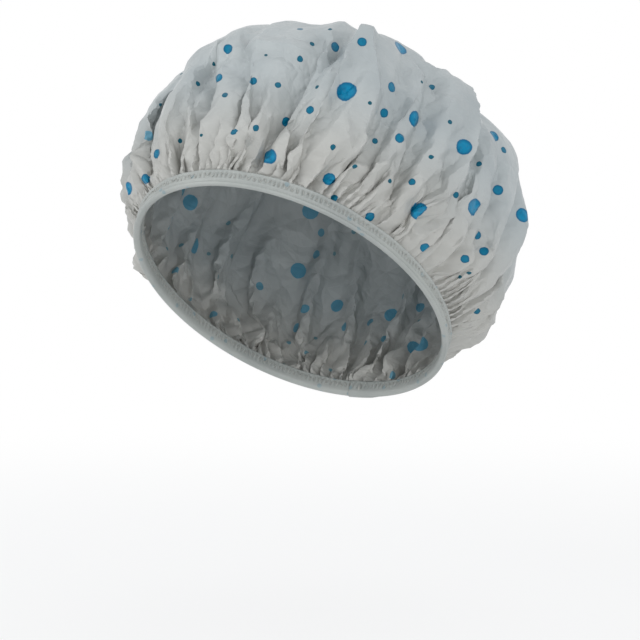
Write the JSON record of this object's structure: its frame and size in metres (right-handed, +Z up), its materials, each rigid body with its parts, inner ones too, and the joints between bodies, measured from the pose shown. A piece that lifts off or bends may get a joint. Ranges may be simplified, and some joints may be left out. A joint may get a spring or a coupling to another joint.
{
  "type": "shower cap",
  "caption": "Puffed film bonnet with scattered dots, gathered into a sewn hem whose hidden elastic grips the head and stretches at the nape.",
  "frame": {"origin": "middle of the mouth, in the plane of the hem's lower edge, where the wearer's head goes in", "axes": "+Z up as worn, +Y towards the back of the head and -Y towards the face, +X towards the wearer's left; the hem slopes down to the nape"},
  "size_m": [0.2061, 0.2159, 0.1963],
  "materials": {
    "film": "thin crumpled PEVA film, pale cool grey with a soft sheen, printed with scattered blue dots",
    "binding": "the same film folded into a strip, puckered along its stitching",
    "elastic": "flat braided elastic, matt off-white",
    "thread": "fine spun polyester sewing thread, off-white"
  },
  "bodies": {
    "cap": {"crown_film": "film", "hem_binding": "binding", "elastic_band": "elastic", "needle_thread": "thread", "bobbin_thread": "thread"},
    "nape": {"elastic_tack": "thread"}
  },
  "joints": [
    {"name": "hem_stretch", "type": "slide", "parent": "cap", "child": "nape", "axis": [0, 0.809, -0.5878], "range_m": [-0.045, 0.06], "stiffness_N_per_m": 60, "deforming": ["crown_film", "hem_binding", "elastic_band", "needle_thread", "bobbin_thread"]}
  ]
}
